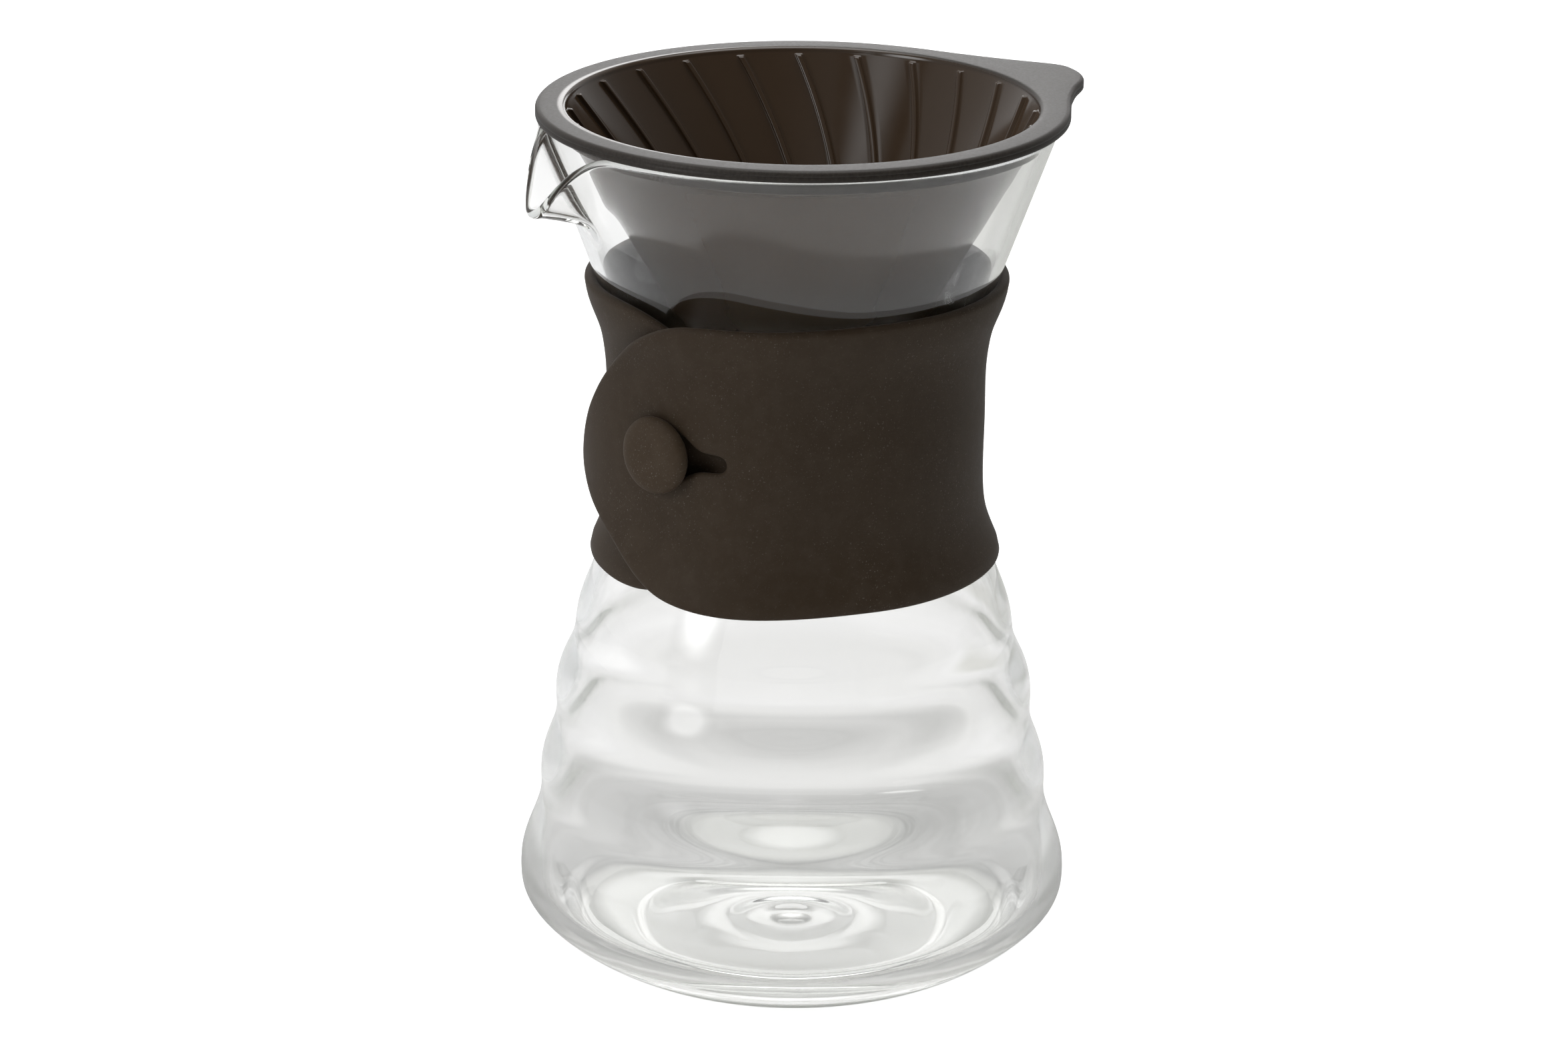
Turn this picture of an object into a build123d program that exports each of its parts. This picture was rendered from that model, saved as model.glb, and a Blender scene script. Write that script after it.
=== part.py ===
from build123d import *
import math
import os

# Pour over dripper: a glass decanter, a drop-in cone with a finger tab, and a
# silicone heat guard that wraps round the glass waist and buttons on itself.
#
# Frame: millimetres, +Z up, origin at the centre of the resting face,
# +X towards the finger tab, -X towards the pouring spout.
# Azimuths are in degrees, anticlockwise from +X seen from above.

os.makedirs("parts", exist_ok=True)

# ------------------------------------------------------------ glass sizes
RIM_Z = 192.9  # top of the glass rim
WALL = 2.2
FLOOR_Z = 4.2  # inside floor
FOOT_R = 35.4  # flat resting face
INNER_FLOOR_R = 44.0  # flat part of the inside floor
INNER_START_Z = 9.0  # above this the inside follows the outside
NECK_Z = 157.8  # the mouth is a plain cone from here to the shoulder
SHOULDER_Z = 190.2  # where the rim starts to round over
RIM_R = 55.75  # outside, at the shoulder and at the top of the rim
RIM_INNER_R = 55.25

# Outside of the glass from the heel up: (z, radius)
GLASS = [
    (0.73, 38.87), (1.68, 41.64), (2.97, 44.67), (4.55, 47.78), (6.36, 50.82),
    (8.32, 53.64), (10.33, 56.12), (12.3, 58.17), (14.12, 59.69),
    (16.2, 60.75), (19.4, 61.08), (22.4, 60.95), (25.4, 60.27), (28.4, 59.16),
    (31.4, 58.0), (34.4, 57.05), (37.4, 56.5), (40.4, 56.44), (43.4, 56.42),
    (46.4, 55.98), (49.4, 55.04), (52.4, 53.87), (55.4, 53.15), (58.4, 52.96),
    (61.4, 52.99), (64.4, 52.74), (67.4, 51.95), (70.4, 50.7), (73.4, 49.4),
    (76.4, 48.75), (79.4, 48.3), (82.4, 47.65), (85.5, 46.6), (89.3, 45.1),
    (91.8, 44.1), (94.6, 42.9), (97.5, 41.7), (100.4, 40.56), (103.2, 39.58),
    (106.1, 38.99), (108.9, 38.7), (111.8, 38.58), (114.6, 38.56),
    (120.4, 38.66), (126.1, 38.79), (134.6, 38.81), (137.5, 38.91),
    (140.4, 39.18), (143.2, 39.58), (146.1, 40.13), (148.9, 41.0),
    (151.8, 42.05), (154.8, 43.07), (NECK_Z, 43.99), (160.8, 45.07),
]

# ------------------------------------------------------------ spout sizes
SPOUT_TIP_R = 63.0  # spout tip from the axis
SPOUT_TIP_Z = 178.4  # lowest point of the spout's rim
SPOUT_ROOT_R = 50.2  # where the channel leaves the wall
SPOUT_ROOT_Z = 175.1
SPOUT_RIM_R = 54.0  # where the spout's rim leaves the glass rim
SPOUT_START_R = 43.0  # the trough is drawn from inside the wall
SPOUT_SIDE = 0.956  # rise of the V's sides over half its width
SPOUT_WALL = 2.0
SPOUT_HALF_WIDTH = 24.0
SPOUT_KEEL_FILLET = 3.4
SPOUT_TOP_GAP = 0.4  # the spout stops this far below the rim
CHANNEL_HALF_WIDTH = 17.6
CHANNEL_TOP = 30.0  # height of the channel cutter
CHANNEL_KEEL_FILLET = 1.6

# ------------------------------------------------------------ dripper sizes
FLANGE_R = 57.6  # flange that rests on the rim
FLANGE_TOP = 195.5
FLANGE_BOTTOM = RIM_Z + 0.05
CONE_TOP_R = 51.2  # inner cone radius at CONE_TOP_Z
CONE_TOP_Z = 195.0
CONE_HALF_ANGLE = 30.0  # a 60 degree filter cone
CONE_WALL = 2.2
OUTLET_R = 10.0
OUTLET_BOTTOM = 121.2
OUTLET_WALL = 2.0
COLLAR_R = 52.6  # locating collar under the flange
COLLAR_BOTTOM = 189.5
COLLAR_CHAMFER = 0.4

# Half outline of the finger tab: (angle from +X, radius)
TAB = [
    (0, 67.9), (3, 67.5), (7, 66.4), (10.5, 63.7),
    (15, 60.9), (19.5, 59.0), (25, 57.9), (32, FLANGE_R),
]

RIB_COUNT = 24
RIB_TOP_Z = 193.9
RIB_WIDTH = 1.3
RIB_CREST_HALF = RIB_WIDTH * 0.42
RIB_HEIGHT = 1.2
RIB_END_HEIGHT = 0.25  # at the lower end
RIB_ROOT = 0.9  # how far a rib sinks into the cone wall
RIB_PHASE = 62.8  # azimuth of the first rib's top end
# Long ribs alternate with short ones: (depth, loft steps)
RIB_KINDS = [(66.0, 7), (44.0, 5)]

# ------------------------------------------------------------ band sizes
# Outside of a single silicone layer: (z, radius)
BAND = [
    (93.6, 45.0), (95.4, 45.3), (97.5, 44.42), (100.4, 43.21), (103.2, 42.23),
    (106.1, 41.64), (111.8, 41.23), (120.4, 41.31), (126.1, 41.44),
    (134.6, 41.46), (140.4, 41.83), (143.2, 42.23), (146.1, 42.78),
    (148.9, 43.73), (151.8, 44.92), (154.6, 45.69), (157.9, 45.75),
]
BAND_GAP = 0.12  # clearance between silicone and glass
SPLIT_AZ = 281.7  # where the fixed wrap ends and the flap begins
SPLIT_GAP = 0.10  # kept clear on each side of the split, degrees
WRAP_END_AZ = 227.7  # hidden end of the wrap, under the flap
TONGUE_AZ = WRAP_END_AZ - 21.0  # the wrap's end is trimmed square on to here

# Rounded end of the wrap, top to bottom: (sideways from TONGUE_AZ, z)
TONGUE = [
    (-14.6, 159.0), (-9.0, 155.2), (4.0, 147.0), (12.2, 136.0), (14.6, 126.0),
    (12.2, 115.0), (4.0, 104.0), (-9.0, 96.2), (-14.6, 92.5),
]
TONGUE_CUT_X = 26.0  # far side of the cutter

FLAP_RISE = 4.6  # how far the flap stands off the wrap
RISE_START_AZ = 263.7
RISE_ARC = 50.0
FLAP_STATIONS = 19
FLAP_STEP = 6.98  # degrees between loft stations
FLAP_VIEW_AZ = 190.0  # the free end is trimmed square on to here

# Outline of the flap's free end, from the top round to the bottom: (azimuth, z)
FLAP_END = [
    (217.0, 159.2), (213.8, 158.1), (207.8, 156.9), (202.1, 154.8), (196.9, 152.3),
    (189.8, 148.0), (183.9, 143.8), (176.5, 137.7), (170.6, 131.8), (166.4, 126.3),
    (162.6, 119.6), (164.5, 115.6), (168.9, 112.3), (176.1, 108.5), (183.6, 105.2),
    (189.6, 101.5), (194.8, 99.3), (199.5, 97.4), (205.5, 96.0), (211.0, 94.9),
    (217.0, 93.0),
]
FLAP_CUT_X = -45.0  # far side, bottom and top of the cutter
FLAP_CUT_BOTTOM = 90.0
FLAP_CUT_TOP = 162.0

BUTTON_AZ = 202.7
BUTTON_Z = 127.6
BUTTON_HEAD_R = 8.4
BUTTON_HEAD_T = 3.7
BUTTON_HEAD_FILLET = 1.5
BUTTON_NECK_R = 3.4
BUTTON_NECK_START = 40.25  # inner end of the neck, from the axis
BUTTON_NECK_OVERLAP = 0.5  # how far the neck runs into the head
BUTTON_HEAD_START = 41.44 + FLAP_RISE + 0.1  # underside, just clear of the flap
SOCKET_START = 40.2
SOCKET_CLEARANCE = 0.03


# ------------------------------------------------------------ helpers
def radius_at(z, profile):
    """Radius at a height, linear between a (z, radius) profile's points, level beyond."""
    z = min(max(z, profile[0][0]), profile[-1][0])
    for (z0, r0), (z1, r1) in zip(profile, profile[1:]):
        if z <= z1:
            return r0 + (r1 - r0) * (z - z0) / (z1 - z0)


def direction(start, end):
    """Unit vector from one (radius, z) point to another."""
    length = math.dist(start, end)
    return ((end[0] - start[0]) / length, (end[1] - start[1]) / length)


def inside(point, along):
    """A (radius, z) point moved in by the glass wall, square to the direction along."""
    return (point[0] - along[1] * WALL, point[1] + along[0] * WALL)


def polar(angle, radius):
    return (radius * math.cos(math.radians(angle)), radius * math.sin(math.radians(angle)))


def radial_plane(azimuth):
    """Vertical plane through the axis: x is the radius, y is the height."""
    x, y = polar(azimuth, 1)
    return Plane(origin=(0, 0, 0), x_dir=(x, y, 0), z_dir=(y, -x, 0))


def tangent_plane(azimuth, radius, height=0.0):
    """Upright plane that faces outwards: x runs to the right, y is up."""
    x, y = polar(azimuth, 1)
    return Plane(origin=(radius * x, radius * y, height), x_dir=(-y, x, 0), z_dir=(x, y, 0))


def save(part, name):
    part.label = name
    export_step(part, f"parts/{name}.step")


# ------------------------------------------------------------ spout
# A V shaped trough that rises towards its tip
SPOUT_RUN = SPOUT_TIP_R - SPOUT_ROOT_R
SPOUT_RISE = SPOUT_TIP_Z - SPOUT_ROOT_Z
SPOUT_DIR = (-SPOUT_RUN, 0, SPOUT_RISE)
CHANNEL_START_Z = SPOUT_ROOT_Z - (SPOUT_ROOT_R - SPOUT_START_R) * SPOUT_RISE / SPOUT_RUN
SPOUT_START_Z = CHANNEL_START_Z - SPOUT_WALL * math.sqrt(1 + SPOUT_SIDE**2)


def spout_plane(z):
    """Plane across the trough, x along +Y and y up, with its origin at the keel."""
    return Plane(origin=(-SPOUT_START_R, 0, z), x_dir=(0, 1, 0), z_dir=(1, 0, 0))


def keel(trough):
    """The long bottom edge of a trough."""
    middle = trough.edges().filter_by(lambda e: abs(e.center().Y) < 0.01 and e.length > 15)
    return middle.sort_by(Axis.Z)[0]


def make_spout():
    # the spout's rim slopes from the glass rim down to the tip
    rim_slope = (RIM_Z - SPOUT_TIP_Z) / (SPOUT_TIP_R - SPOUT_RIM_R)
    rim_plane = Plane(
        origin=(-SPOUT_TIP_R, 0, SPOUT_TIP_Z), x_dir=(0, 1, 0), z_dir=(-rim_slope, 0, 1)
    )
    half = SPOUT_HALF_WIDTH
    side_top = half * SPOUT_SIDE
    with BuildPart() as spout:
        with BuildSketch(spout_plane(SPOUT_START_Z)):
            Polygon((0, 0), (half, side_top), (-half, side_top), align=None)
        extrude(amount=30.0, dir=SPOUT_DIR)
        fillet(keel(spout), radius=SPOUT_KEEL_FILLET)
        split(bisect_by=rim_plane, keep=Keep.BOTTOM)
        split(bisect_by=Plane.XY.offset(RIM_Z - SPOUT_TOP_GAP), keep=Keep.BOTTOM)
    return spout.part


def make_channel():
    """Cutter for the spout's channel, open at the top."""
    half = CHANNEL_HALF_WIDTH
    side_top = half * SPOUT_SIDE
    with BuildPart() as channel:
        with BuildSketch(spout_plane(CHANNEL_START_Z)):
            Polygon(
                (0, 0), (half, side_top), (half, CHANNEL_TOP),
                (-half, CHANNEL_TOP), (-half, side_top), align=None,
            )
        extrude(amount=40.0, dir=SPOUT_DIR)
        fillet(keel(channel), radius=CHANNEL_KEEL_FILLET)
    return channel.part


# ------------------------------------------------------------ glass decanter
def make_decanter():
    spout = make_spout()
    channel = make_channel()

    outer = [(r, z) for z, r in GLASS if z <= NECK_Z]
    inner = [
        inside(point, direction(below, above))
        for below, point, above in zip(outer, outer[1:], outer[2:])
    ]
    inner = [point for point in inner if point[1] > INNER_START_Z]

    neck = outer[-1]
    shoulder = (RIM_R, SHOULDER_Z)
    tilt = direction(neck, shoulder)
    inner_neck = inside(neck, tilt)
    inner_shoulder = inside(shoulder, tilt)
    rim = (RIM_R, RIM_Z)
    inner_rim = (RIM_INNER_R, RIM_Z)
    cut_top = RIM_Z + 5

    with BuildPart() as decanter:
        # outside shape, solid
        with BuildSketch(Plane.XZ):
            with BuildLine():
                Polyline((0, 0), (FOOT_R, 0))
                Spline((FOOT_R, 0), (36.6, 0.16), *outer)
                Line(neck, shoulder)
                Spline(shoulder, (56.5, 192.0), rim, tangents=(tilt, (-1, 0)))
                Polyline(rim, (0, RIM_Z), (0, 0))
            make_face()
        revolve(axis=Axis.Z)
        add(spout)
        # hollow inside
        with BuildSketch(Plane.XZ):
            with BuildLine():
                Polyline((0, FLOOR_Z), (INNER_FLOOR_R, FLOOR_Z))
                Spline((INNER_FLOOR_R, FLOOR_Z), (48.6, 6.6), *inner, inner_neck)
                Line(inner_neck, inner_shoulder)
                Spline(inner_shoulder, (54.6, 192.35), inner_rim, tangents=(tilt, (0.8, 0.6)))
                Polyline(inner_rim, (RIM_INNER_R, cut_top), (0, cut_top), (0, FLOOR_Z))
            make_face()
        revolve(axis=Axis.Z, mode=Mode.SUBTRACT)
        add(channel, mode=Mode.SUBTRACT)
    return decanter.part


# ------------------------------------------------------------ dripper
CONE_SLOPE = math.tan(math.radians(CONE_HALF_ANGLE))


def cone_r(z):
    """Radius of the cone's inside face."""
    return CONE_TOP_R - (CONE_TOP_Z - z) * CONE_SLOPE


def rib_twist(depth):
    """How far a rib has turned, in degrees, at a depth below its top end."""
    return 0.56 * depth - 0.0018 * depth**2 + 0.00002 * depth**3


def make_cone():
    wall_across = CONE_WALL / math.cos(math.radians(CONE_HALF_ANGLE))  # measured level
    outlet_z = CONE_TOP_Z - (CONE_TOP_R - OUTLET_R) / CONE_SLOPE
    ring_r = OUTLET_R + OUTLET_WALL
    body_top = FLANGE_BOTTOM + 0.5
    # the inside edge rounds over from the cone to the flange's top
    lip_z = FLANGE_TOP - 1.0
    lip_r = cone_r(lip_z)
    lip_end_r = lip_r + 1.2
    cut_bottom = OUTLET_BOTTOM - 5
    cut_top = FLANGE_TOP + 3

    tab = [polar(a, r) for a, r in reversed(TAB)] + [polar(-a, r) for a, r in TAB[1:]]

    with BuildPart() as cone:
        # flange and finger tab
        with BuildSketch(Plane.XY.offset(FLANGE_BOTTOM)):
            Circle(FLANGE_R)
            with BuildLine():
                Spline(*tab)
                Line(tab[-1], tab[0])
            make_face()
        extrude(amount=FLANGE_TOP - FLANGE_BOTTOM)
        fillet(cone.edges().group_by(Axis.Z)[-1], radius=0.9)
        fillet(cone.edges().group_by(Axis.Z)[0], radius=0.4)
        # cone wall, collar and outlet ring
        with BuildSketch(Plane.XZ):
            with BuildLine():
                Polyline(
                    (0, body_top),
                    (COLLAR_R, body_top),
                    (COLLAR_R, COLLAR_BOTTOM + COLLAR_CHAMFER),
                    (COLLAR_R - COLLAR_CHAMFER, COLLAR_BOTTOM),
                    (cone_r(COLLAR_BOTTOM) + wall_across, COLLAR_BOTTOM),
                    (OUTLET_R + wall_across, outlet_z),
                    (ring_r, outlet_z - 0.9),
                    (ring_r, OUTLET_BOTTOM),
                    (0, OUTLET_BOTTOM),
                    close=True,
                )
            make_face()
        revolve(axis=Axis.Z)
        # hollow inside
        with BuildSketch(Plane.XZ):
            with BuildLine():
                Polyline((0, cut_bottom), (OUTLET_R, cut_bottom), (OUTLET_R, outlet_z),
                         (lip_r, lip_z))
                Spline((lip_r, lip_z), (lip_r + 0.35, FLANGE_TOP - 0.4),
                       (lip_end_r, FLANGE_TOP), tangents=((0.5, 0.87), (1, 0)))
                Polyline((lip_end_r, FLANGE_TOP), (lip_end_r, cut_top), (0, cut_top),
                         (0, cut_bottom))
            make_face()
        revolve(axis=Axis.Z, mode=Mode.SUBTRACT)
        # spiral ribs inside the cone: they turn clockwise on the way down
        for i in range(RIB_COUNT):
            depth, steps = RIB_KINDS[i % 2]
            for k in range(steps + 1):
                below = depth * k / steps
                z = RIB_TOP_Z - below
                azimuth = RIB_PHASE + 360.0 / RIB_COUNT * i - rib_twist(below)
                root = cone_r(z) + RIB_ROOT
                crest = cone_r(z) - (RIB_HEIGHT if k < steps else RIB_END_HEIGHT)
                x_dir = (*polar(azimuth, 1), 0)
                with BuildSketch(Plane(origin=(0, 0, z), x_dir=x_dir, z_dir=(0, 0, 1))):
                    with BuildLine():
                        Polyline((root, -RIB_WIDTH / 2), (root, RIB_WIDTH / 2),
                                 (crest, RIB_CREST_HALF), (crest, -RIB_CREST_HALF),
                                 close=True)
                    make_face()
            loft()
    return cone.part


# ------------------------------------------------------------ silicone band
def draw_band_section(lift):
    """Draw the band's closed section, moved outwards by lift, in the open BuildLine."""
    outside = [(r + lift, z) for z, r in BAND]
    lining = [(radius_at(z, GLASS) + BAND_GAP + lift, z) for z, r in reversed(BAND)]
    Spline(*outside)
    Line(outside[-1], lining[0])
    Spline(*lining)
    Line(lining[-1], outside[0])


def make_wrap():
    start_az = SPLIT_AZ + SPLIT_GAP
    top, bottom = TONGUE[0], TONGUE[-1]
    with BuildPart() as wrap:
        with BuildSketch(radial_plane(start_az)):
            with BuildLine():
                draw_band_section(0.0)
            make_face()
        revolve(axis=Axis.Z, revolution_arc=360.0 + WRAP_END_AZ - start_az)
        # the end under the flap is rounded like a tongue
        with BuildSketch(tangent_plane(TONGUE_AZ, 30.0)):
            with BuildLine():
                Spline(*TONGUE)
                Polyline(bottom, (TONGUE_CUT_X, bottom[1]), (TONGUE_CUT_X, top[1]), top)
            make_face()
        extrude(amount=20.0, mode=Mode.SUBTRACT)
        # socket for the button's neck
        with BuildSketch(tangent_plane(BUTTON_AZ, SOCKET_START, BUTTON_Z)):
            Circle(BUTTON_NECK_R + SOCKET_CLEARANCE)
        extrude(amount=6.0, mode=Mode.SUBTRACT)
    return wrap.part


def flap_lift(azimuth):
    """The flap leaves the glass and climbs smoothly over the end of the wrap."""
    s = min(1.0, max(0.0, (RISE_START_AZ - azimuth) / RISE_ARC))
    return FLAP_RISE * s * s * (3 - 2 * s)


def flap_point(azimuth, z):
    """A point of the flap's outline, seen square on from FLAP_VIEW_AZ."""
    radius = radius_at(z, BAND) + FLAP_RISE
    return (radius * math.sin(math.radians(azimuth - FLAP_VIEW_AZ)), z)


def make_flap():
    outline = [flap_point(azimuth, z) for azimuth, z in FLAP_END]
    top, bottom = outline[0], outline[-1]
    with BuildPart() as flap:
        for k in range(FLAP_STATIONS):
            azimuth = SPLIT_AZ - SPLIT_GAP - FLAP_STEP * k
            with BuildSketch(radial_plane(azimuth)):
                with BuildLine():
                    draw_band_section(flap_lift(azimuth))
                make_face()
        loft()
        # large rounded free end
        with BuildSketch(tangent_plane(FLAP_VIEW_AZ, 30.0)):
            with BuildLine():
                Spline(*outline)
                Polyline(bottom, (bottom[0], FLAP_CUT_BOTTOM), (FLAP_CUT_X, FLAP_CUT_BOTTOM),
                         (FLAP_CUT_X, FLAP_CUT_TOP), (top[0], FLAP_CUT_TOP), top)
            make_face()
        extrude(amount=30.0, mode=Mode.SUBTRACT)
        # buttonhole, wide enough for the rigid head, with a narrow slot
        # on the side away from the free end
        with BuildSketch(tangent_plane(BUTTON_AZ, 36.0, BUTTON_Z)):
            with Locations((-2.6, 0)):
                SlotOverall(2 * BUTTON_HEAD_R + 7.4, 2 * BUTTON_HEAD_R + 1.4)
            with Locations((11.0, -0.5)):
                SlotOverall(10.0, 4.2)
        extrude(amount=20.0, mode=Mode.SUBTRACT)
    return flap.part


def make_button():
    with BuildPart() as button:
        with BuildSketch(tangent_plane(BUTTON_AZ, BUTTON_NECK_START, BUTTON_Z)):
            Circle(BUTTON_NECK_R)
        extrude(amount=BUTTON_HEAD_START - BUTTON_NECK_START + BUTTON_NECK_OVERLAP)
        with BuildSketch(tangent_plane(BUTTON_AZ, BUTTON_HEAD_START, BUTTON_Z)):
            Circle(BUTTON_HEAD_R)
        extrude(amount=BUTTON_HEAD_T)
        circles = button.edges().filter_by(GeomType.CIRCLE)
        head_rims = circles.filter_by(lambda e: abs(e.radius - BUTTON_HEAD_R) < 0.01)
        fillet(head_rims, radius=BUTTON_HEAD_FILLET)
    return button.part


save(make_decanter(), "glass_decanter")
save(make_cone(), "dripper_cone")
save(make_wrap(), "band_wrap")
save(make_flap(), "band_flap")
save(make_button(), "band_button")
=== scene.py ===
"""Pour-over coffee maker: a glass decanter, a ribbed cone insert and a buttoned silicone band.

It stands on z = 0 around the Z axis, with the spout towards -X and the finger tab towards +X.
Azimuths are degrees about +Z from +X. Pieces are drawn in millimetres, and mesh_piece turns
them into metres. The studio is in metres.
"""
import bpy
import math
import numpy as np
from mathutils import Matrix, Vector
from mathutils.geometry import delaunay_2d_cdt


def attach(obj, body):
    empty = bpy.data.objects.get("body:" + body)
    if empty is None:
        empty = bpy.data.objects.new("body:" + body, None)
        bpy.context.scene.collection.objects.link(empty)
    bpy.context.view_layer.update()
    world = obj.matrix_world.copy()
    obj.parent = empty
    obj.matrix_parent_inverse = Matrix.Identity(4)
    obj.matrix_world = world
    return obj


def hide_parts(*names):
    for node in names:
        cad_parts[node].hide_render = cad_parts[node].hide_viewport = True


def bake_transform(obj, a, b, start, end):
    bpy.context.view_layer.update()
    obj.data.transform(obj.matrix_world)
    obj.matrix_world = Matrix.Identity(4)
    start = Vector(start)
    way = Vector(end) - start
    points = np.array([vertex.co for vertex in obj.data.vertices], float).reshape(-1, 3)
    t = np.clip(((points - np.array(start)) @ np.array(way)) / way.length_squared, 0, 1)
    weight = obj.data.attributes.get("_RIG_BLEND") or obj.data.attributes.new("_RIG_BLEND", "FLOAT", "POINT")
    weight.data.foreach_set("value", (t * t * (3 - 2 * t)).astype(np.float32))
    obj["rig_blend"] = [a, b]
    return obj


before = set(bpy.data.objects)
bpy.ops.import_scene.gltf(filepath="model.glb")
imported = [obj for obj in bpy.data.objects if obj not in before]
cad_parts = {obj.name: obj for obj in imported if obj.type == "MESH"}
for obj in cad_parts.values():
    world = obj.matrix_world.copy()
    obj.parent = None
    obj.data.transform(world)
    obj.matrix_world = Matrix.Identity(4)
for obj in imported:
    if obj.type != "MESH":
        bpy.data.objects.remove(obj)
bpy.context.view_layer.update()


# --------------------------------------------------------------------------
# curves and meshes
# --------------------------------------------------------------------------
def arc_length(points):
    """Distance along a path at each of its points."""
    return np.concatenate([[0], np.cumsum(np.linalg.norm(np.diff(points, axis=0), axis=1))])


def spline_through(points, step):
    """Natural cubic spline through 2-D points, resampled at an even step."""
    points = np.asarray(points, float)
    knots = arc_length(points)
    count = len(knots)
    gap = np.diff(knots)
    system = np.zeros((count, count))
    target = np.zeros((count, points.shape[1]))
    system[0, 0] = system[-1, -1] = 1.0
    for i in range(1, count - 1):
        system[i, i - 1 : i + 2] = gap[i - 1], 2 * (gap[i - 1] + gap[i]), gap[i]
        slope_after = (points[i + 1] - points[i]) / gap[i]
        slope_before = (points[i] - points[i - 1]) / gap[i - 1]
        target[i] = 6 * (slope_after - slope_before)
    bend = np.linalg.solve(system, target)
    samples = np.linspace(0, knots[-1], max(3, int(round(knots[-1] / step)) + 1))
    k = np.clip(np.searchsorted(knots, samples, side="right") - 1, 0, count - 2)
    width = gap[k][:, None]
    done = (samples - knots[k])[:, None]
    left = width - done
    return (
        (bend[k] * left**3 + bend[k + 1] * done**3) / (6 * width)
        + (points[k] / width - bend[k] * width / 6) * left
        + (points[k + 1] / width - bend[k + 1] * width / 6) * done
    )


def resample(path, count, endpoint=True):
    """Evenly spaced points along a 2-D path of straight pieces."""
    along = arc_length(path)
    samples = np.linspace(0, along[-1], count, endpoint=endpoint)
    return np.stack([np.interp(samples, along, path[:, axis]) for axis in (0, 1)], 1)


def gaussian(reach, sigma):
    """Smoothing weights from -reach to +reach samples."""
    weights = np.exp(-0.5 * (np.arange(-reach, reach + 1) / sigma) ** 2)
    return weights / weights.sum()


def soften(curve, sigma):
    """Gaussian smoothing along a curve; sigma in samples; the ends stay."""
    reach = int(math.ceil(3 * sigma))
    weights = gaussian(reach, sigma)
    head = 2 * curve[0] - curve[1 : reach + 1][::-1]
    tail = 2 * curve[-1] - curve[-reach - 1 : -1][::-1]
    padded = np.concatenate([head, curve, tail])
    columns = [np.convolve(padded[:, c], weights, "valid") for c in range(curve.shape[1])]
    result = np.stack(columns, 1)
    result[0], result[-1] = curve[0], curve[-1]
    return result


def even_loop(loop, step, sigma):
    """A closed 2-D loop at an even step, smoothed all the way round; sigma in samples."""
    path = np.concatenate([loop, loop[:1]])
    points = resample(path, int(arc_length(path)[-1] / step), endpoint=False)
    reach = int(3 * sigma)
    result = np.zeros_like(points)
    for shift, weight in zip(range(-reach, reach + 1), gaussian(reach, sigma)):
        result += np.roll(points, shift, 0) * weight
    return result


def smoothstep(x):
    x = np.clip(x, 0.0, 1.0)
    return x * x * (3 - 2 * x)


def unit(vectors):
    return vectors / np.linalg.norm(vectors, axis=-1, keepdims=True)


def left_of(directions):
    """2-D directions turned a quarter turn to the left."""
    return np.stack([-directions[:, 1], directions[:, 0]], 1)


def mesh_piece(name, verts_mm, faces):
    """A smooth-shaded object from vertices in millimetres."""
    mesh = bpy.data.meshes.new(name)
    verts = [tuple(v) for v in np.asarray(verts_mm, float) * 0.001]
    mesh.from_pydata(verts, [], [tuple(int(i) for i in f) for f in faces])
    mesh.validate()
    mesh.polygons.foreach_set("use_smooth", [True] * len(mesh.polygons))
    mesh.update()
    piece = bpy.data.objects.new(name, mesh)
    bpy.context.scene.collection.objects.link(piece)
    return piece


def grid_faces(rows, cols, closed_rows=False, flip=False):
    """Quads of a grid whose columns close on themselves."""
    faces = []
    for j in range(rows if closed_rows else rows - 1):
        low, high = j * cols, ((j + 1) % rows) * cols
        for i in range(cols):
            k = (i + 1) % cols
            quad = (low + i, low + k, high + k, high + i)
            faces.append(quad[::-1] if flip else quad)
    return faces


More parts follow.
